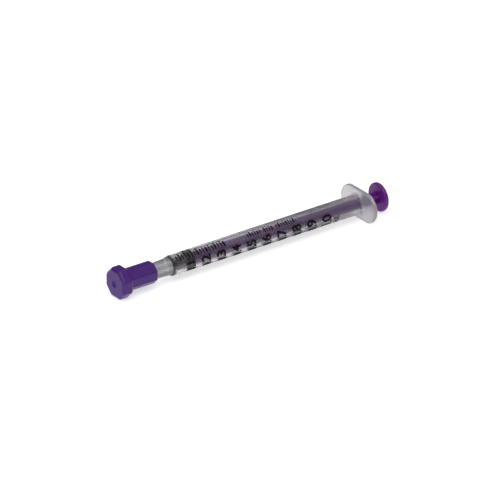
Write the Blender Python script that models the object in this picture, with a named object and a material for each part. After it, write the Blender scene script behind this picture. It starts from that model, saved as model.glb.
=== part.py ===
# 1 mL oral syringe with a push-on tip cap: barrel, plunger rod, rubber stopper and tip cap.
# Metres. +X runs along the barrel from the cap to the thumb disc and +Z is up. The syringe
# lies on a flat of its cap and a long side of its finger flange, with its box centred on X = Y = 0.
# Places along the syringe are stations, measured from the cap's front face.
import math

import bmesh
import bpy
from mathutils import Matrix, Vector

MM = 0.001
ROUND_SIDES = 48
SMALL_SIDES = 24
OVERCUT = 0.5 * MM
WELD = 1e-7

# Scale: the bore and the volume fix the distance between the 0 and 1 mL lines.
BORE_RADIUS = 2.35 * MM
STROKE_PER_ML = 1000.0 * MM**3 / (math.pi * BORE_RADIUS**2)

# Stations along the syringe.
LENGTH = 101.8 * MM
HEAD_BACK = 3.9 * MM
SKIRT_END = 14.1 * MM
NOZZLE_TIP = 5.5 * MM
SHOULDER = 20.5 * MM
BARREL_STEP = 21.3 * MM
BORE_FRONT = 21.2 * MM
FLANGE_FRONT = 93.0 * MM
FLANGE_BACK = 94.3 * MM
DISC_FRONT = 100.4 * MM

# Barrel. A bead inside the bore stops the stopper a little past the 1 mL line.
NOZZLE_TIP_RADIUS = 2.2 * MM
NOZZLE_ROOT_RADIUS = 2.8 * MM
SHOULDER_RADIUS = 3.02 * MM
BARREL_FRONT_RADIUS = 3.24 * MM
BARREL_BACK_RADIUS = 3.29 * MM
CHANNEL_RADIUS = 0.6 * MM
MOUTH_RADIUS = 2.75 * MM
MOUTH_DEPTH = 0.6 * MM
BEAD_RADIUS = 2.23 * MM
BEAD_LENGTH = 1.0 * MM
OVERTRAVEL = 4.8 * MM
FLANGE_SPAN = 17.6 * MM
FLANGE_WIDTH = 9.8 * MM
FLANGE_EDGE = 0.25 * MM

# Tip cap: an octagonal head and a narrower octagonal skirt, both standing on a flat.
CAP_SIDES = 8
HEAD_ACROSS_FLATS = FLANGE_WIDTH
SKIRT_ACROSS_FLATS = 6.8 * MM
HEAD_FRONT_BEVEL = 0.75 * MM
HEAD_BACK_BEVEL = 0.55 * MM
SKIRT_EDGE = 0.2 * MM
CAP_CLEARANCE = 0.05 * MM
SOCKET_END_GAP = 0.2 * MM
DIMPLE_RADIUS = 1.2 * MM
DIMPLE_DEPTH = 0.5 * MM

# Stopper: two sealing ribs with a waist between them, and a pocket for the rod's nub.
STOPPER_FRONT = BORE_FRONT + 0.1 * MM
STOPPER_LENGTH = 7.9 * MM
SEAL_CLEARANCE = 0.05 * MM
FRONT_RIB = 0.8 * MM
REAR_RIB = 3.2 * MM
WAIST_RADIUS = 2.0 * MM
RIB_EDGE = 0.15 * MM

# Plunger rod: a cross of two ribs between a front disc and the thumb disc.
ROD_RADIUS = 2.0 * MM
RIB_THICKNESS = 0.95 * MM
RIB_ROLL = math.radians(58.0)
ROD_GAP = 0.1 * MM
FRONT_DISC_RADIUS = 2.12 * MM
FRONT_DISC_LENGTH = 1.0 * MM
THUMB_RADIUS = 4.7 * MM
THUMB_EDGE = 0.35 * MM
NECK_RADIUS = 0.75 * MM
NUB_RADIUS = 1.15 * MM
NECK_LENGTH = 1.0 * MM
NUB_LENGTH = 1.8 * MM
NUB_CLEARANCE = 0.1 * MM

AXIS_HEIGHT = FLANGE_WIDTH / 2
STOPPER_BACK = STOPPER_FRONT + STOPPER_LENGTH
BEAD_FRONT = STOPPER_BACK + STROKE_PER_ML + OVERTRAVEL
ROD_FRONT = STOPPER_BACK + ROD_GAP


def clear_scene():
    for old in list(bpy.data.objects):
        bpy.data.objects.remove(old, do_unlink=True)


def on_axis(station):
    """World point on the syringe's axis at a station."""
    return Vector((station - LENGTH / 2, 0.0, AXIS_HEIGHT))


def plastic(name, colour, roughness, alpha=1.0):
    material = bpy.data.materials.new(name)
    material.use_nodes = True
    shader = material.node_tree.nodes["Principled BSDF"]
    shader.inputs["Base Color"].default_value = (*colour, 1.0)
    shader.inputs["Roughness"].default_value = roughness
    shader.inputs["Metallic"].default_value = 0.0
    shader.inputs["Alpha"].default_value = alpha
    return material


def add_object(name, bm, station, material=None, crease=35.0):
    """Puts the mesh in the scene with its origin on the axis at the station."""
    bmesh.ops.remove_doubles(bm, verts=bm.verts, dist=WELD)
    bmesh.ops.recalc_face_normals(bm, faces=bm.faces)
    mesh = bpy.data.meshes.new(name)
    bm.to_mesh(mesh)
    bm.free()
    mesh.shade_smooth()
    mesh.set_sharp_from_angle(angle=math.radians(crease))
    made = bpy.data.objects.new(name, mesh)
    made.location = on_axis(station)
    if material:
        mesh.materials.append(material)
    bpy.context.collection.objects.link(made)
    return made


def turned(profile, start, sides=ROUND_SIDES, roll=0.0):
    """Turns (station, radius) points round X. The first and last points lie on the axis."""
    bm = bmesh.new()
    points = [bm.verts.new((station - start, 0.0, radius)) for station, radius in profile]
    edges = [bm.edges.new(pair) for pair in zip(points, points[1:])]
    bmesh.ops.rotate(bm, verts=points, cent=(0, 0, 0), matrix=Matrix.Rotation(roll, 3, "X"))
    bmesh.ops.spin(
        bm,
        geom=points + edges,
        cent=(0, 0, 0),
        axis=(1, 0, 0),
        angle=math.tau,
        steps=sides,
        use_merge=True,
    )
    bmesh.ops.remove_doubles(bm, verts=bm.verts, dist=WELD)
    return bm


def combine(target, other, operation):
    """Unites or cuts with a helper object, which stays in the scene hidden."""
    other.hide_render = True
    other.display_type = "WIRE"
    other.parent = target
    other.matrix_parent_inverse = Matrix.Translation(-target.location)
    modifier = target.modifiers.new(other.name, "BOOLEAN")
    modifier.operation = operation
    modifier.solver = "EXACT"
    modifier.object = other


def nozzle_radius(station):
    slope = (NOZZLE_ROOT_RADIUS - NOZZLE_TIP_RADIUS) / (SHOULDER - NOZZLE_TIP)
    return NOZZLE_TIP_RADIUS + slope * (station - NOZZLE_TIP)


def rounded_end(station, radius, edge, steps=2, forward=1):
    """Points of a quarter circle that rounds an edge off, from the end face to the side."""
    centre = station + forward * edge
    angles = [math.pi / 2 * step / steps for step in range(steps + 1)]
    return [
        (centre - forward * edge * math.cos(angle), radius - edge + edge * math.sin(angle))
        for angle in angles
    ]


def flange_plate():
    """The finger flange: a plate with straight long sides and half-round ends."""
    bm = bmesh.new()
    end_radius = FLANGE_WIDTH / 2
    centre = FLANGE_SPAN / 2 - end_radius
    steps = ROUND_SIDES // 2
    outline = []
    for side in (1, -1):
        for step in range(steps + 1):
            angle = math.pi * step / steps - math.pi / 2
            across = side * (centre + end_radius * math.cos(angle))
            outline.append((across, side * end_radius * math.sin(angle)))
    face = bm.faces.new([bm.verts.new((0.0, y, z)) for y, z in outline])
    grown = bmesh.ops.extrude_face_region(bm, geom=[face])
    moved = [item for item in grown["geom"] if isinstance(item, bmesh.types.BMVert)]
    bmesh.ops.translate(bm, verts=moved, vec=(FLANGE_BACK - FLANGE_FRONT, 0.0, 0.0))
    rims = [edge for edge in bm.edges if abs(edge.verts[0].co.x - edge.verts[1].co.x) < WELD]
    bmesh.ops.bevel(bm, geom=rims, offset=FLANGE_EDGE, segments=2, profile=0.5, affect="EDGES")
    return bm


def make_barrel(material):
    middle_of_flange = (FLANGE_FRONT + FLANGE_BACK) / 2
    outside = [
        (NOZZLE_TIP, 0.0),
        *rounded_end(NOZZLE_TIP, NOZZLE_TIP_RADIUS, 0.3 * MM),
        (SHOULDER, NOZZLE_ROOT_RADIUS),
        *rounded_end(SHOULDER, SHOULDER_RADIUS, 0.12 * MM),
        (BARREL_STEP, SHOULDER_RADIUS),
        (BARREL_STEP + 0.15 * MM, BARREL_FRONT_RADIUS),
        (middle_of_flange, BARREL_BACK_RADIUS),
        (middle_of_flange, 0.0),
    ]
    inside = [
        (NOZZLE_TIP - OVERCUT, 0.0),
        (NOZZLE_TIP - OVERCUT, CHANNEL_RADIUS),
        (BORE_FRONT, CHANNEL_RADIUS),
        (BORE_FRONT, BORE_RADIUS),
        (BEAD_FRONT, BORE_RADIUS),
        (BEAD_FRONT + 0.4 * BEAD_LENGTH, BEAD_RADIUS),
        (BEAD_FRONT + 0.6 * BEAD_LENGTH, BEAD_RADIUS),
        (BEAD_FRONT + BEAD_LENGTH, BORE_RADIUS),
        (FLANGE_BACK - MOUTH_DEPTH, BORE_RADIUS),
        (FLANGE_BACK, MOUTH_RADIUS),
        (FLANGE_BACK + OVERCUT, MOUTH_RADIUS),
        (FLANGE_BACK + OVERCUT, 0.0),
    ]
    barrel = add_object("barrel", turned(outside, BORE_FRONT), BORE_FRONT, material)
    plate = add_object("flange_plate", flange_plate(), FLANGE_FRONT)
    bore = add_object("bore_cutter", turned(inside, BORE_FRONT), BORE_FRONT)
    combine(barrel, plate, "UNION")
    combine(barrel, bore, "DIFFERENCE")
    return barrel


def make_tip_cap(material):
    to_corner = 1 / math.cos(math.pi / CAP_SIDES)
    head = HEAD_ACROSS_FLATS / 2 * to_corner
    skirt = SKIRT_ACROSS_FLATS / 2 * to_corner
    outside = [
        (0.0, 0.0),
        (0.0, head - HEAD_FRONT_BEVEL),
        (0.3 * HEAD_FRONT_BEVEL, head - 0.3 * HEAD_FRONT_BEVEL),
        (HEAD_FRONT_BEVEL, head),
        (HEAD_BACK - HEAD_BACK_BEVEL, head),
        (HEAD_BACK, head - HEAD_BACK_BEVEL),
        (HEAD_BACK, skirt),
        (SKIRT_END - SKIRT_EDGE, skirt),
        (SKIRT_END, skirt - SKIRT_EDGE),
        (SKIRT_END, 0.0),
    ]
    socket_floor = NOZZLE_TIP - SOCKET_END_GAP
    socket_end = SKIRT_END + OVERCUT
    socket = [
        (socket_floor, 0.0),
        (socket_floor, nozzle_radius(socket_floor) + CAP_CLEARANCE),
        (socket_end, nozzle_radius(socket_end) + CAP_CLEARANCE),
        (socket_end, 0.0),
    ]
    dimple = [
        (-OVERCUT, 0.0),
        (-OVERCUT, DIMPLE_RADIUS),
        (0.0, DIMPLE_RADIUS),
        (0.6 * DIMPLE_DEPTH, 0.75 * DIMPLE_RADIUS),
        (0.9 * DIMPLE_DEPTH, 0.4 * DIMPLE_RADIUS),
        (DIMPLE_DEPTH, 0.0),
    ]
    half_side = math.pi / CAP_SIDES
    body = turned(outside, SKIRT_END, CAP_SIDES, half_side)
    cap = add_object("tip_cap", body, SKIRT_END, material, crease=20.0)
    socket_cutter = add_object("socket_cutter", turned(socket, SKIRT_END), SKIRT_END)
    dimple_cutter = add_object("dimple_cutter", turned(dimple, 0.0, SMALL_SIDES), 0.0)
    combine(cap, socket_cutter, "DIFFERENCE")
    combine(cap, dimple_cutter, "DIFFERENCE")
    return cap


def make_stopper(material):
    seal = BORE_RADIUS - SEAL_CLEARANCE
    waist_start = STOPPER_FRONT + FRONT_RIB
    waist_end = STOPPER_BACK - REAR_RIB
    pocket_front = ROD_FRONT - NECK_LENGTH - NUB_LENGTH - NUB_CLEARANCE
    neck_front = ROD_FRONT - NECK_LENGTH + NUB_CLEARANCE
    pocket = NUB_RADIUS + NUB_CLEARANCE
    neck = NECK_RADIUS + NUB_CLEARANCE
    profile = [
        (STOPPER_FRONT, 0.0),
        *rounded_end(STOPPER_FRONT, seal, RIB_EDGE),
        (waist_start, seal),
        (waist_start + RIB_EDGE, WAIST_RADIUS),
        (waist_end - RIB_EDGE, WAIST_RADIUS),
        (waist_end, seal),
        *reversed(rounded_end(STOPPER_BACK, seal, RIB_EDGE, forward=-1)),
        (STOPPER_BACK, neck),
        (neck_front, neck),
        (neck_front - 0.1 * MM, pocket),
        (pocket_front + 0.3 * MM, pocket),
        (pocket_front, pocket - 0.3 * MM),
        (pocket_front, 0.0),
    ]
    return add_object("stopper", turned(profile, STOPPER_BACK), STOPPER_BACK, material)


def rib(roll):
    """One flat rib of the rod's cross, with its outer edges rounded off."""
    bm = bmesh.new()
    start = ROD_FRONT + FRONT_DISC_LENGTH / 2
    end = DISC_FRONT + THUMB_EDGE
    bmesh.ops.create_cube(bm, size=1.0)
    bmesh.ops.scale(bm, verts=bm.verts, vec=(end - start, RIB_THICKNESS, 2 * ROD_RADIUS))
    long_edges = [e for e in bm.edges if abs(e.verts[0].co.x - e.verts[1].co.x) > ROD_RADIUS]
    edge = 0.3 * RIB_THICKNESS
    bmesh.ops.bevel(bm, geom=long_edges, offset=edge, segments=2, profile=0.5, affect="EDGES")
    middle = (start + end) / 2 - ROD_FRONT
    bmesh.ops.translate(bm, verts=bm.verts, vec=(middle, 0.0, 0.0))
    bmesh.ops.rotate(bm, verts=bm.verts, cent=(0, 0, 0), matrix=Matrix.Rotation(roll, 3, "X"))
    return bm


def make_plunger_rod(material):
    disc_back = ROD_FRONT + FRONT_DISC_LENGTH
    nub_back = ROD_FRONT - NECK_LENGTH
    nub_front = nub_back - NUB_LENGTH
    front = [
        (nub_front, 0.0),
        *rounded_end(nub_front, NUB_RADIUS, 0.6 * MM),
        (nub_back - 0.2 * MM, NUB_RADIUS),
        (nub_back, NECK_RADIUS),
        (ROD_FRONT, NECK_RADIUS),
        (ROD_FRONT, FRONT_DISC_RADIUS),
        (disc_back, FRONT_DISC_RADIUS),
        (disc_back, 0.0),
    ]
    thumb = [
        (DISC_FRONT, 0.0),
        *rounded_end(DISC_FRONT, THUMB_RADIUS, THUMB_EDGE),
        *reversed(rounded_end(LENGTH, THUMB_RADIUS, THUMB_EDGE, forward=-1)),
        (LENGTH, 0.0),
    ]
    rod = add_object("plunger_rod", turned(thumb, ROD_FRONT), ROD_FRONT, material)
    pusher = add_object("rod_front", turned(front, ROD_FRONT), ROD_FRONT)
    combine(rod, add_object("rib_a", rib(RIB_ROLL), ROD_FRONT), "UNION")
    combine(rod, add_object("rib_b", rib(RIB_ROLL + math.pi / 2), ROD_FRONT), "UNION")
    combine(rod, pusher, "UNION")
    return rod


clear_scene()
frosted = plastic("frosted_polypropylene", (0.80, 0.81, 0.83), 0.35, alpha=0.4)
violet = plastic("violet_plastic", (0.13, 0.035, 0.36), 0.35)
rubber = plastic("black_rubber", (0.012, 0.012, 0.014), 0.55)
make_barrel(frosted)
make_tip_cap(violet)
make_stopper(rubber)
make_plunger_rod(violet)
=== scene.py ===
import math

import bpy
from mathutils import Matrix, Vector


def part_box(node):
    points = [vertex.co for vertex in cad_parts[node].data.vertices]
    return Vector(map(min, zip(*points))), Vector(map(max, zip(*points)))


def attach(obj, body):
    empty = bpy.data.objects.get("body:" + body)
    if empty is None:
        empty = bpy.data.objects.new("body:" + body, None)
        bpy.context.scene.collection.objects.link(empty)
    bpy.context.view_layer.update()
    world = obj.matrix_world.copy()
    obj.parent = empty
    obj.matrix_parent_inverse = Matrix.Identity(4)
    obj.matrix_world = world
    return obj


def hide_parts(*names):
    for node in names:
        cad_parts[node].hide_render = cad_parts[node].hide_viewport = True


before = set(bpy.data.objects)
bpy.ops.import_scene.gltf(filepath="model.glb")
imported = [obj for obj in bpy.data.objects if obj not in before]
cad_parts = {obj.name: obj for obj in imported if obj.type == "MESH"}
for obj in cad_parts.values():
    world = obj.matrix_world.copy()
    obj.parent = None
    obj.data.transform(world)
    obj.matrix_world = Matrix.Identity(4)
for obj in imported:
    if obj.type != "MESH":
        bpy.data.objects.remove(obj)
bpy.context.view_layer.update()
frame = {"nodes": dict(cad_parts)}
print("frame loaded:", ", ".join(frame["nodes"]))

mm = 0.001
capLow, capHigh = (Vector(corner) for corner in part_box("tip_cap"))
barrelLow, barrelHigh = (Vector(corner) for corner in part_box("barrel"))
stopperLow, stopperHigh = (Vector(corner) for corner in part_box("stopper"))
rodLow, rodHigh = (Vector(corner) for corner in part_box("plunger_rod"))
axisHeight = (barrelLow.z + barrelHigh.z) / 2
axisStart = Vector((capLow.x, 0, axisHeight))  # stations are counted from here, along +X


def along(station):
    # x of a station given in millimetres from the cap's front face
    return capLow.x + station * mm


def stationOf(x):
    return (x - capLow.x) / mm


# small helpers round the edit-mode operators

def deselectAll():
    bpy.ops.object.select_all(action="DESELECT")


def activate(piece):
    deselectAll()
    piece.select_set(True)
    bpy.context.view_layer.objects.active = piece


def selectWhere(piece, wanted):
    # in edit mode: selects the vertices that the test picks, by their place
    bpy.ops.mesh.select_all(action="DESELECT")
    bpy.ops.mesh.select_mode(type="VERT")
    bpy.ops.object.mode_set(mode="OBJECT")
    for vertex in piece.data.vertices:
        vertex.select = wanted(vertex)
    bpy.ops.object.mode_set(mode="EDIT")


def applyModifier(piece, kind, **settings):
    activate(piece)
    modifier = piece.modifiers.new(kind.title(), kind)
    for name, value in settings.items():
        setattr(modifier, name, value)
    bpy.ops.object.modifier_apply(modifier=modifier.name)


def roundEdges(piece, width, segments=3, angle=30):
    applyModifier(
        piece, "BEVEL", width=width * mm, segments=segments, limit_method="ANGLE",
        angle_limit=math.radians(angle), use_clamp_overlap=True, harden_normals=False,
    )


def combine(piece, other, operation):
    # boolean with a helper, which is then deleted
    applyModifier(piece, "BOOLEAN", operation=operation, solver="EXACT", object=other)
    bpy.data.objects.remove(other, do_unlink=True)


def smooth(piece, angle=32, weighted=True):
    activate(piece)
    bpy.ops.object.shade_smooth_by_angle(angle=math.radians(angle))
    if weighted:
        applyModifier(piece, "WEIGHTED_NORMAL", keep_sharp=True, weight=80)


def placeInMesh(piece):
    activate(piece)
    bpy.ops.object.transform_apply(location=True, rotation=True, scale=True)


def arc(centre, radius, fromAngle, toAngle, steps):
    # points of an arc in the station-radius plane, angles in degrees from +X
    angles = [math.radians(fromAngle + (toAngle - fromAngle) * i / steps) for i in range(steps + 1)]
    return [(centre[0] + radius * math.cos(a), centre[1] + radius * math.sin(a)) for a in angles]


def turn(name, outline, sides, startAngle=0.0):
    # draws (station, radius) points by extruding one vertex, then spins them round the axis
    deselectAll()
    bpy.ops.mesh.primitive_plane_add(size=mm, location=(0, 0, 0))
    piece = bpy.context.object
    piece.name = name
    piece.data.name = name
    bpy.ops.object.mode_set(mode="EDIT")
    bpy.ops.mesh.select_all(action="SELECT")
    bpy.ops.mesh.merge(type="CENTER")
    station, radius = outline[0]
    bpy.ops.transform.translate(value=(along(station), 0, axisHeight + radius * mm))
    for (fromStation, fromRadius), (toStation, toRadius) in zip(outline, outline[1:]):
        step = ((toStation - fromStation) * mm, 0, (toRadius - fromRadius) * mm)
        bpy.ops.mesh.extrude_vertices_move(TRANSFORM_OT_translate={"value": step})
    bpy.ops.mesh.select_all(action="SELECT")
    if startAngle:
        bpy.ops.mesh.spin(steps=1, angle=startAngle, center=axisStart, axis=(1, 0, 0), dupli=True)
        bpy.ops.mesh.select_all(action="INVERT")
        bpy.ops.mesh.delete(type="VERT")
        bpy.ops.mesh.select_all(action="SELECT")
    bpy.ops.mesh.spin(
        steps=sides, angle=math.tau, center=axisStart, axis=(1, 0, 0), use_auto_merge=True
    )
    bpy.ops.mesh.select_all(action="SELECT")
    bpy.ops.mesh.remove_doubles(threshold=1e-6)
    bpy.ops.mesh.normals_make_consistent(inside=False)
    bpy.ops.object.mode_set(mode="OBJECT")
    return piece


# materials

class Flow:
    # one output of a material's nodes; arithmetic on it adds Math nodes
    def __init__(self, tree, socket):
        self.tree = tree
        self.socket = socket

    def math(self, operation, other, swapped=False):
        made = self.tree.nodes.new("ShaderNodeMath")
        made.operation = operation
        first, second = (other, self) if swapped else (self, other)
        for slotNumber, value in enumerate((first, second)):
            if isinstance(value, Flow):
                self.tree.links.new(value.socket, made.inputs[slotNumber])
            else:
                made.inputs[slotNumber].default_value = value
        return Flow(self.tree, made.outputs[0])

    def __add__(self, other):
        return self.math("ADD", other)

    def __radd__(self, other):
        return self.math("ADD", other, swapped=True)

    def __sub__(self, other):
        return self.math("SUBTRACT", other)

    def __rsub__(self, other):
        return self.math("SUBTRACT", other, swapped=True)

    def __mul__(self, other):
        return self.math("MULTIPLY", other)

    def __rmul__(self, other):
        return self.math("MULTIPLY", other, swapped=True)


class Finish:
    # a new material with its Principled shader; node() adds any other node
    def __init__(self, name):
        self.material = bpy.data.materials.new(name)
        self.material.use_nodes = True
        self.tree = self.material.node_tree
        self.shader = self.tree.nodes["Principled BSDF"]
        coordinates = self.tree.nodes.new("ShaderNodeTexCoord")
        self.place = Flow(self.tree, coordinates.outputs["Object"])

    def node(self, kind, settings=None, inputs=None, output=0):
        made = self.tree.nodes.new("ShaderNode" + kind)
        for name, value in (settings or {}).items():
            setattr(made, name, value)
        for name, value in (inputs or {}).items():
            self.put(made.inputs[name], value)
        return Flow(self.tree, made.outputs[output])

    def put(self, socket, value):
        if isinstance(value, Flow):
            self.tree.links.new(value.socket, socket)
        elif hasattr(value, "__len__") and len(value) == 3 and socket.type == "RGBA":
            socket.default_value = (*value, 1.0)
        else:
            socket.default_value = value

    def set(self, sockets):
        for name, value in sockets.items():
            self.put(self.shader.inputs[name], value)

    def noise(self, scale, detail=2.0, roughness=0.5, distortion=0.0, place=None):
        return self.node(
            "TexNoise",
            inputs={
                "Vector": place or self.place, "Scale": scale, "Detail": detail,
                "Roughness": roughness, "Distortion": distortion,
            },
        )

    def stretched(self, scale):
        # the piece's own coordinates, stretched along the axes
        return self.node("Mapping", inputs={"Vector": self.place, "Scale": scale})

    def mixColour(self, factor, first, second):
        # the colour sockets of a Mix node are told apart by number
        return self.node("Mix", {"data_type": "RGBA"}, {0: factor, 6: first, 7: second}, output=2)

    def bump(self, height, distance):
        return self.node("Bump", inputs={"Height": height, "Distance": distance})


violetLook = {
    "capDeep": (0.045, 0.007, 0.130),
    "capLight": (0.072, 0.014, 0.190),
    # the rod's two violets are lighter than the cap's: the plastic's own colour plus painted sheen
    # and haze for the light it gets through the barrel
    "rodDeepWithPaintedSheen": (0.085, 0.008, 0.150),
    "rodPaleWithPaintedSheen": (0.145, 0.020, 0.225),
    "roughness": 0.27,
    "gloss": 0.30,
    "subsurface": 0.05,
}


def violetPlastic(name, deep, light):
    # moulded violet polypropylene: faint flow swirls along the piece and a fine satin grain
    finish = Finish(name)
    flow = finish.stretched((0.35, 1.0, 1.0))
    swirls = finish.noise(260.0, detail=3.0, distortion=1.2, place=flow)
    grain = finish.noise(9000.0, detail=3.0, roughness=0.6)
    drawn = finish.stretched((0.25, 1.0, 1.0))
    scuffs = finish.noise(1400.0, detail=4.0, roughness=0.65, place=drawn)
    finish.set({
        "Base Color": finish.mixColour(swirls, deep, light),
        "Roughness": violetLook["roughness"] + 0.14 * scuffs - 0.05 * grain,
        "Normal": finish.bump(grain * 0.7 + scuffs * 0.3, 0.004 * mm),
        "Subsurface Weight": violetLook["subsurface"],
        "Subsurface Scale": 1.2 * mm,
        "Subsurface Radius": (0.6, 0.25, 1.0),
        "Specular IOR Level": violetLook["gloss"],
        "IOR": 1.49,
    })
    return finish.material


def blackRubber(name):
    finish = Finish(name)
    bloom = finish.noise(900.0, detail=4.0, roughness=0.6)
    grain = finish.noise(7000.0, detail=2.0)
    finish.set({
        "Base Color": finish.mixColour(bloom, (0.006, 0.006, 0.007), (0.020, 0.020, 0.022)),
        "Roughness": 0.42 + 0.2 * bloom,
        "Normal": finish.bump(grain, 0.006 * mm),
    })
    return finish.material


def polypropylene(name, milkiness, roughness, dull, bright):
    # translucent natural polypropylene; milkiness is the share of light the surface scatters. The
    # faint violet in its colours is a painted reflection of the violet rod
    finish = Finish(name)
    drawn = finish.stretched((0.3, 1.0, 1.0))
    haze = finish.noise(180.0, detail=3.0, distortion=0.6, place=drawn)
    frost = finish.noise(6000.0, detail=3.0, roughness=0.6)
    flow = finish.noise(700.0, detail=3.0, place=finish.stretched((0.12, 1.0, 1.0)))
    finish.set({
        "Base Color": finish.mixColour(haze, dull, bright),
        "Roughness": roughness + 0.06 * frost + 0.05 * flow,
        "Normal": finish.bump(flow * 0.7 + frost * 0.3, 0.003 * mm),
        "Transmission Weight": 1.0 - milkiness,
        "IOR": 1.49,
    })
    return finish.material


def printAndShadowInk(name):
    # dark ink for the print and for the painted shadow dashes
    finish = Finish(name)
    wear = finish.noise(5000.0, detail=4.0, roughness=0.7)
    finish.set({
        "Base Color": finish.mixColour(wear, (0.002, 0.0015, 0.003), (0.010, 0.008, 0.012)),
        "Roughness": 0.42 + 0.25 * wear,
        "Normal": finish.bump(wear, 0.002 * mm),
        "Specular IOR Level": 0.06,
    })
    return finish.material


# barrel: one translucent moulding from nozzle to finger flange

barrelLook = {
    "sides": 128,
    "nozzleTip": stationOf(barrelLow.x),
    "nozzleTipRadius": 2.2,
    "shoulder": 20.5,
    "nozzleRootRadius": 2.8,
    "rimRadius": 3.02,
    "step": 21.3,
    "frontRadius": 3.24,
    "backRadius": 3.29,
    "boreFront": 21.2,
    "boreRadius": 2.35,
    "channelRadius": 0.6,
    "beadFront": 91.7,
    "beadLength": 1.0,
    "beadRadius": 2.23,
    "mouthRadius": 2.75,
    "mouthDepth": 0.6,
    "fillet": 0.8,
    "flangeFront": 93.0,
    "flangeBack": stationOf(barrelHigh.x),
    "flangeHalfSpan": barrelHigh.y / mm,
    "flangeHalfWidth": (barrelHigh.z - axisHeight) / mm,
    "flangeEdge": 0.42,
    # the barrel's colours lean violet: painted reflection of the violet rod inside
    "clearFinish": {
        "milkiness": 0.005, "roughness": 0.11,
        "dull": (0.87, 0.84, 0.88), "bright": (0.94, 0.91, 0.95),
    },
    "boreFinish": {
        "milkiness": 0.11, "roughness": 0.14,
        "dull": (0.80, 0.75, 0.82), "bright": (0.90, 0.85, 0.92),
    },
    "milkyFinish": {
        "milkiness": 0.20, "roughness": 0.26,
        "dull": (0.60, 0.58, 0.62), "bright": (0.70, 0.68, 0.72),
    },
}


def makeBarrel():
    look = barrelLook
    halfWidth = look["flangeHalfWidth"]
    rim = look["flangeEdge"]
    fillet = look["fillet"]
    back = look["flangeBack"]
    front = look["flangeFront"]
    bead = look["beadFront"]
    beadEnd = bead + look["beadLength"]
    tip = look["nozzleTip"]
    outline = [
        (tip, look["channelRadius"]),
        (tip, look["nozzleTipRadius"]),
        (look["shoulder"], look["nozzleRootRadius"]),
        (look["shoulder"], look["rimRadius"]),
        (look["step"], look["rimRadius"]),
        (look["step"] + 0.12, look["frontRadius"]),
        *arc((front - fillet, look["backRadius"] + fillet), fillet, 270, 360, 5),
        *arc((front + rim, halfWidth - rim), rim, 180, 90, 4),
        *arc((back - rim, halfWidth - rim), rim, 90, 0, 4),
        (back, look["mouthRadius"]),
        (back - look["mouthDepth"], look["boreRadius"]),
        (beadEnd, look["boreRadius"]),
        (beadEnd - 0.4, look["beadRadius"]),
        (bead + 0.4, look["beadRadius"]),
        (bead, look["boreRadius"]),
        (look["boreFront"], look["boreRadius"]),
        (look["boreFront"], look["channelRadius"]),
        (tip, look["channelRadius"]),
    ]
    barrel = turn("barrelMoulding", outline, look["sides"], math.pi / look["sides"])
    # the round flange becomes oval: its two halves move apart along Y
    spread = (look["flangeHalfSpan"] - halfWidth) * mm
    inner = (look["backRadius"] + fillet + 0.05) * mm
    for side in (1, -1):
        activate(barrel)
        bpy.ops.object.mode_set(mode="EDIT")

        def onFlange(vertex):
            offset = Vector((0, vertex.co.y, vertex.co.z - axisHeight))
            return offset.length > inner and vertex.co.y * side > 0

        selectWhere(barrel, onFlange)
        bpy.ops.transform.translate(value=(0, side * spread, 0))
        bpy.ops.object.mode_set(mode="OBJECT")
    roundEdges(barrel, 0.07, segments=2, angle=40)
    smooth(barrel, angle=35, weighted=False)
    clear = polypropylene("clearPolypropylene", **look["clearFinish"])
    milky = polypropylene("milkyPolypropylene", **look["milkyFinish"])
    barrel.data.materials.append(clear)
    barrel.data.materials.append(milky)
    # the bore is a little frosted, which shows wherever the rubber doesn't touch it
    barrel.data.materials.append(polypropylene("frostedBore", **look["boreFinish"]))
    for face in barrel.data.polygons:
        station = stationOf(face.center.x)
        radius = math.hypot(face.center.y, face.center.z - axisHeight) / mm
        if station < look["shoulder"] - 0.05 or station > look["flangeFront"] - 0.7:
            face.material_index = 1
        elif station > look["boreFront"] - 0.05 and radius < look["boreRadius"] + 0.1:
            face.material_index = 2
    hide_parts("barrel")
    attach(barrel, "barrel_body")
    print("barrel made")
    return barrel


# tip cap: octagonal head and skirt, round socket, gate dimple

capLook = {
    "sides": 8,
    "headHalfWidth": (capHigh.z - capLow.z) / 2 / mm,
    "skirtHalfWidth": 3.4,
    "headBack": 3.9,
    "skirtEnd": stationOf(capHigh.x),
    "frontBevel": 0.75,
    "backBevel": 0.55,
    "edge": 0.28,
    "socketFloor": 5.3,
    "socketClearance": 0.05,
    "dimpleRadius": 1.2,
    "dimpleDepth": 0.5,
}


def nozzleRadius(station):
    look = barrelLook
    share = (station - look["nozzleTip"]) / (look["shoulder"] - look["nozzleTip"])
    return look["nozzleTipRadius"] + share * (look["nozzleRootRadius"] - look["nozzleTipRadius"])


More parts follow.
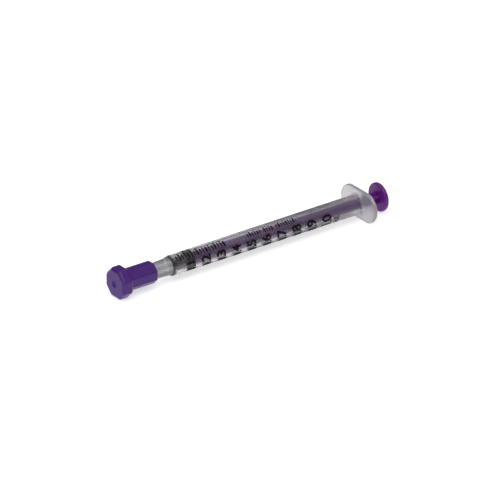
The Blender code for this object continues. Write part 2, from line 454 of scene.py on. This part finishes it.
def makeTipCap():
    look = capLook
    toCorner = 1 / math.cos(math.pi / look["sides"])
    head = look["headHalfWidth"] * toCorner
    skirt = look["skirtHalfWidth"] * toCorner
    outline = [
        (0, 0),
        (0, head - look["frontBevel"]),
        (look["frontBevel"], head),
        (look["headBack"] - look["backBevel"], head),
        (look["headBack"], head - look["backBevel"]),
        (look["headBack"], skirt),
        (look["skirtEnd"], skirt),
        (look["skirtEnd"], 0),
    ]
    cap = turn("tipCap", outline, look["sides"], math.pi / look["sides"])
    roundEdges(cap, look["edge"], segments=4, angle=20)
    floor = look["socketFloor"]
    end = look["skirtEnd"]
    gap = look["socketClearance"]
    socket = [
        (floor, 0),
        (floor, nozzleRadius(floor) + gap),
        (end - 0.25, nozzleRadius(end) + gap),
        (end + 0.1, nozzleRadius(end) + gap + 0.3),
        (end + 0.1, 0),
    ]
    combine(cap, turn("socketShape", socket, 96), "DIFFERENCE")
    depth = look["dimpleDepth"]
    radius = look["dimpleRadius"]
    dimple = [
        (-0.3, 0),
        (-0.3, radius + 0.12),
        (-0.02, radius + 0.12),
        (0.04, radius + 0.02),
        (depth * 0.30, radius * 0.92),
        (depth * 0.62, radius * 0.74),
        (depth * 0.86, radius * 0.50),
        (depth, radius * 0.22),
        (depth, 0),
    ]
    combine(cap, turn("dimpleShape", dimple, 48), "DIFFERENCE")
    smooth(cap, angle=28)
    violet = violetPlastic("capViolet", violetLook["capDeep"], violetLook["capLight"])
    cap.data.materials.append(violet)
    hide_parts("tip_cap")
    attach(cap, "cap_body")
    print("tip cap made")
    return cap


# stopper: black rubber with a thin front rib, a waist and a wide rear rib

stopperLook = {
    "front": stationOf(stopperLow.x),
    "back": stationOf(stopperHigh.x),
    "sealRadius": (stopperHigh.z - stopperLow.z) / 2 / mm,
    "pressedOut": 0.06,  # the rubber touches the bore and its end wall
    "pressedForward": 0.11,
    "waistRadius": 2.0,
    "frontRib": 0.8,
    "rearRib": 3.2,
    "pocketRadius": 1.25,
    "neckRadius": 0.85,
    "pocketDepth": 2.8,
    "neckDepth": 0.8,
}


def makeStopper():
    look = stopperLook
    front = look["front"] - look["pressedForward"]
    back = look["back"]
    seal = look["sealRadius"] + look["pressedOut"]
    waist = look["waistRadius"]
    outline = [
        (front + 0.06, 0),
        (front + 0.06, 0.8),
        (front, 0.9),
        *arc((front + 0.08, seal - 0.08), 0.08, 180, 90, 3),
        *arc((front + look["frontRib"], seal - 0.12), 0.12, 90, 10, 4),
        (front + look["frontRib"] + 0.25, waist),
        (back - look["rearRib"] - 0.1, waist),
        *arc((back - look["rearRib"] + 0.2, seal - 0.2), 0.2, 170, 90, 4),
        (back - look["rearRib"] / 2 - 0.25, seal),
        (back - look["rearRib"] / 2, seal - 0.12),
        (back - look["rearRib"] / 2 + 0.25, seal),
        *arc((back - 0.25, seal - 0.25), 0.25, 90, 0, 4),
        (back, look["neckRadius"]),
        (back - look["neckDepth"], look["neckRadius"]),
        (back - look["neckDepth"] - 0.1, look["pocketRadius"]),
        (back - look["pocketDepth"] + 0.3, look["pocketRadius"]),
        (back - look["pocketDepth"], look["pocketRadius"] - 0.3),
        (back - look["pocketDepth"], 0),
    ]
    stopper = turn("rubberStopper", outline, 96)
    smooth(stopper, angle=40, weighted=False)
    stopper.data.materials.append(blackRubber("stopperRubber"))
    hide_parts("stopper")
    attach(stopper, "stopper_body")
    print("stopper made")
    return stopper


# plunger rod: cross of two ribs, front disc with its nub, thumb disc

rodLook = {
    "nubFront": stationOf(rodLow.x),
    "front": 29.3,
    "frontDisc": 1.0,
    "frontDiscRadius": 2.12,
    "ribRadius": 2.0,
    "ribThickness": 0.95,
    "ribRoll": math.radians(58),
    "ribEdge": 0.36,
    "discFront": 100.4,
    "discBack": stationOf(rodHigh.x),
    "discRadius": (rodHigh.z - rodLow.z) / 2 / mm,
    "discEdge": 0.5,
    "neckRadius": 0.75,
    "neckLength": 1.0,
    "nubRadius": 1.15,
}


def makeRib(roll):
    look = rodLook
    start = look["front"] + look["frontDisc"] / 2
    end = look["discFront"] + look["discEdge"]
    deselectAll()
    bpy.ops.mesh.primitive_cube_add(
        size=1,
        location=((along(start) + along(end)) / 2, 0, axisHeight),
        rotation=(roll, 0, 0),
        scale=((end - start) * mm, look["ribThickness"] * mm, 2 * look["ribRadius"] * mm),
    )
    rib = bpy.context.object
    placeInMesh(rib)
    activate(rib)
    bpy.ops.object.mode_set(mode="EDIT")
    bpy.ops.mesh.select_mode(type="EDGE")
    bpy.ops.mesh.select_all(action="DESELECT")
    bpy.ops.object.mode_set(mode="OBJECT")
    for edge in rib.data.edges:
        ends = [rib.data.vertices[index].co for index in edge.vertices]
        edge.select = abs(ends[0].x - ends[1].x) > 10 * mm
    bpy.ops.object.mode_set(mode="EDIT")
    bpy.ops.mesh.bevel(offset=look["ribEdge"] * mm, segments=4, affect="EDGES", clamp_overlap=True)
    bpy.ops.object.mode_set(mode="OBJECT")
    return rib


def makePlungerRod():
    look = rodLook
    front = look["front"]
    edge = look["discEdge"]
    radius = look["discRadius"]
    nubBack = front - look["neckLength"]
    discEnd = front + look["frontDisc"]
    disc = [
        (look["discFront"], 0),
        *arc((look["discFront"] + edge, radius - edge), edge, 180, 90, 6),
        *arc((look["discBack"] - edge, radius - edge), edge, 90, 0, 6),
        (look["discBack"], 0),
    ]
    nub = [
        (look["nubFront"], 0),
        *arc((look["nubFront"] + 0.6, look["nubRadius"] - 0.6), 0.6, 180, 90, 5),
        (nubBack - 0.2, look["nubRadius"]),
        (nubBack, look["neckRadius"]),
        (front, look["neckRadius"]),
        *arc((front + 0.15, look["frontDiscRadius"] - 0.15), 0.15, 180, 90, 3),
        *arc((discEnd - 0.15, look["frontDiscRadius"] - 0.15), 0.15, 90, 0, 3),
        (discEnd, 0),
    ]
    rod = turn("plungerRod", disc, 128)
    combine(rod, makeRib(look["ribRoll"]), "UNION")
    combine(rod, makeRib(look["ribRoll"] + math.pi / 2), "UNION")
    combine(rod, turn("rodFront", nub, 96), "UNION")
    smooth(rod, angle=35)
    # this violet carries painted sheen: it is lighter than the cap's
    violet = violetPlastic("rodVioletWithPaintedSheen", violetLook["rodDeepWithPaintedSheen"], violetLook["rodPaleWithPaintedSheen"])
    rod.data.materials.append(violet)
    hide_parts("plunger_rod")
    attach(rod, "rod_body")
    print("plunger rod made")
    return rod


# printed scale and painted shadow dashes: drawn flat, X along the barrel and Y round it, then
# wrapped on

printAndShadowLook = {
    "zero": stopperLook["front"],
    "perTenth": 100.0 / (math.pi * barrelLook["boreRadius"] ** 2),
    "numeralSize": 4.6,
    "numeralWidth": 1.02,
    "numeralBold": 0.145,
    "numeralEdge": 3.42,
    "pointEdge": 5.9,
    "pointRadius": 0.34,
    "pointShift": 1.35,
    # painted shadow: a dark ink dash under each figure, by the lower edge
    "shadowDashEdge": 7.4,
    "shadowDashSize": (3.2, 1.8),
    "shadowDashShift": 0.5,
    "unitShift": 3.6,
    "unitEdge": 4.42,
    "unitSize": 2.6,
    "unitBold": 0.07,
    "lineEnd": 12.0,
    "majorStart": 8.5,
    "middleStart": 9.3,
    "minorStart": 9.8,
    "majorWidth": 0.34,
    "minorWidth": 0.20,
    "frontBars": {
        "start": 22.4, "count": 17, "pitch": 1.12, "around": 1.58, "height": 2.5, "gaps": (),
    },
    "middleBars": {
        "start": 49.4, "count": 20, "pitch": 0.92, "around": 1.75, "height": 1.85, "gaps": (6, 11),
    },
    "specks": ((74.3, 0.97, 0.28), (73.5, 1.75, 0.22)),
    "lift": 0.012,
    "thickness": 0.012,
    "strip": 0.15,
}


def flatText(words, station, around, size, bold):
    # tops point to the nozzle, and the last letter ends at the given distance round the barrel
    deselectAll()
    bpy.ops.object.text_add(location=(0, 0, 0))
    text = bpy.context.object
    text.data.body = words
    text.data.size = size * mm
    text.data.offset = bold * mm
    text.data.resolution_u = 6
    text.data.align_x = "RIGHT"
    text.data.align_y = "CENTER"
    bpy.ops.object.convert(target="MESH")
    text = bpy.context.object
    text.scale = (printAndShadowLook["numeralWidth"], 1, 1)
    text.rotation_euler = (0, 0, math.pi / 2)
    text.location = (along(station), -around * mm, 0)
    placeInMesh(text)
    return text


def flatBar(station, around, width, height):
    deselectAll()
    bpy.ops.mesh.primitive_plane_add(size=1, location=(along(station), -around * mm, 0))
    bar = bpy.context.object
    bar.scale = (width * mm, height * mm, 1)
    placeInMesh(bar)
    return bar


def flatDot(station, around, radius):
    deselectAll()
    bpy.ops.mesh.primitive_circle_add(
        vertices=16, radius=radius * mm, fill_type="NGON",
        location=(along(station), -around * mm, 0),
    )
    dot = bpy.context.object
    placeInMesh(dot)
    return dot


def neutralBars(look):
    # plain upright bars where the real one has words
    bars = []
    for index in range(look["count"]):
        if index in look["gaps"]:
            continue
        tall = look["height"] * (1.0 if index % 2 else 0.78)
        wide = look["pitch"] * (0.60 if index % 3 == 1 else 0.38)
        around = look["around"] + (look["height"] - tall) / 2
        bars.append(flatBar(look["start"] + index * look["pitch"], around, wide, tall))
    return bars


def makePrintAndShadows():
    look = printAndShadowLook
    numeral = look["numeralSize"], look["numeralBold"]
    flat = []
    for tenth in range(1, 11):
        station = look["zero"] + tenth * look["perTenth"]
        figure = str(tenth % 10)
        flat.append(flatText(figure, station, look["numeralEdge"], *numeral))
        pointStation = station + look["pointShift"]
        flat.append(flatDot(pointStation, look["pointEdge"], look["pointRadius"]))
        # the dash is painted shadow: ink standing in for the figures' shadows and dark reflections
        # in the lower wall
        if tenth < 10:
            shadowDashStation = station + look["shadowDashShift"]
            flat.append(flatBar(shadowDashStation, look["shadowDashEdge"], *look["shadowDashSize"]))
        else:
            flat.append(flatText("1", station, look["pointEdge"], *numeral))
    unitStation = look["zero"] + 10 * look["perTenth"] + look["unitShift"]
    flat.append(flatText("mL", unitStation, look["unitEdge"], look["unitSize"], look["unitBold"]))
    for hundredth in range(0, 101):
        station = look["zero"] + hundredth * look["perTenth"] / 10
        start = look["minorStart"]
        width = look["minorWidth"]
        if hundredth % 10 == 0:
            start = look["majorStart"]
            width = look["majorWidth"]
        elif hundredth % 5 == 0:
            start = look["middleStart"]
        flat.append(flatBar(station, (start + look["lineEnd"]) / 2, width, look["lineEnd"] - start))
    flat += neutralBars(look["frontBars"])
    flat += neutralBars(look["middleBars"])
    for speck in look["specks"]:
        flat.append(flatDot(*speck))
    deselectAll()
    for piece in flat:
        piece.select_set(True)
    sheet = flat[0]
    bpy.context.view_layer.objects.active = sheet
    bpy.ops.object.join()
    sheet.name = "printedScaleAndShadows"
    sheet.data.name = "printedScaleAndShadows"
    # cut into narrow strips so that it can curve round the barrel
    activate(sheet)
    bpy.ops.object.mode_set(mode="EDIT")
    cuts = int(look["lineEnd"] / look["strip"]) + 2
    for index in range(-4, cuts):
        bpy.ops.mesh.select_all(action="SELECT")
        bpy.ops.mesh.bisect(plane_co=(0, -index * look["strip"] * mm, 0), plane_no=(0, 1, 0))
    bpy.ops.object.mode_set(mode="OBJECT")
    # wrap: the distance from Y = 0 becomes an arc on the barrel, which widens a little to the back
    slope = (barrelLook["backRadius"] - barrelLook["frontRadius"]) / (
        barrelLook["flangeFront"] - barrelLook["step"]
    )
    for vertex in sheet.data.vertices:
        station = stationOf(vertex.co.x)
        radius = barrelLook["frontRadius"] + slope * (station - barrelLook["step"])
        angle = -vertex.co.y / (radius * mm)
        reach = (radius + look["lift"]) * mm
        vertex.co.y = -reach * math.sin(angle)
        vertex.co.z = axisHeight + reach * math.cos(angle)
    applyModifier(sheet, "SOLIDIFY", thickness=look["thickness"] * mm, offset=1.0)
    activate(sheet)
    bpy.ops.object.shade_smooth_by_angle(angle=math.radians(30))
    sheet.data.materials.append(printAndShadowInk("scaleInkAndShadow"))
    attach(sheet, "barrel_body")
    print("scale printed:", len(sheet.data.polygons), "faces")
    return sheet


# floor, light and camera

stageLook = {
    "azimuth": math.radians(-36.4),
    "elevation": math.radians(26.6),
    "distance": 5.0,
    "viewWidth": 0.154,
    "aimRight": 0.0006,
    "aimDown": 0.0031,
    "floorSize": 6.0,
    "floorGlow": 0.58,
    "worldColour": (0.93, 0.94, 0.96),
    "worldStrength": 0.16,
    # name, place, size, power
    "panels": (
        ("ceilingPanel", (0.0, 0.0, 2.6), 5.0, 50.0),
        ("keyPanel", (-0.85, -0.5, 1.45), 2.0, 12.0),
        ("frontPanel", (-0.9, -1.0, 1.9), 1.4, 10.0),
    ),
}


def makeStage():
    look = stageLook
    azimuth = look["azimuth"]
    elevation = look["elevation"]
    back = Vector((
        math.sin(azimuth) * math.cos(elevation),
        -math.cos(azimuth) * math.cos(elevation),
        math.sin(elevation),
    ))
    right = Vector((math.cos(azimuth), math.sin(azimuth), 0))
    up = back.cross(right)
    middle = Vector((0, 0, axisHeight))
    target = middle + right * look["aimRight"] - up * look["aimDown"]
    lens = bpy.data.cameras.new("studioCamera")
    lens.sensor_width = 36
    lens.lens = 36 * look["distance"] / look["viewWidth"]
    lens.clip_start = 0.01
    lens.clip_end = 20
    camera = bpy.data.objects.new("studioCamera", lens)
    camera.location = target + back * look["distance"]
    camera.rotation_euler = back.to_track_quat("Z", "Y").to_euler()
    bpy.context.scene.collection.objects.link(camera)
    bpy.context.scene.camera = camera

    deselectAll()
    bpy.ops.mesh.primitive_plane_add(size=look["floorSize"], location=(0, 0, 0))
    floor = bpy.context.object
    floor.name = "paleFloor"
    finish = Finish("paleFloor")
    mottle = finish.noise(3.0, detail=2.0)
    finish.set({
        "Base Color": finish.mixColour(mottle, (0.74, 0.74, 0.74), (0.76, 0.76, 0.76)),
        "Roughness": 0.75 + 0.05 * mottle,
        "Emission Color": (1.0, 1.0, 1.0),
        "Emission Strength": look["floorGlow"],
    })
    floor.data.materials.append(finish.material)

    world = bpy.data.worlds.new("studio")
    world.use_nodes = True
    background = world.node_tree.nodes["Background"]
    background.inputs["Color"].default_value = (*look["worldColour"], 1)
    background.inputs["Strength"].default_value = look["worldStrength"]
    bpy.context.scene.world = world

    for name, place, size, energy in look["panels"]:
        light = bpy.data.lights.new(name, "AREA")
        light.shape = "SQUARE"
        light.size = size
        light.energy = energy
        panel = bpy.data.objects.new(name, light)
        panel.location = place
        panel.rotation_euler = Vector(place).to_track_quat("Z", "Y").to_euler()
        bpy.context.scene.collection.objects.link(panel)
    bpy.context.scene.view_settings.view_transform = "Standard"
    print("stage set")


makeStage()
makeBarrel()
makeTipCap()
makeStopper()
makePlungerRod()
makePrintAndShadows()
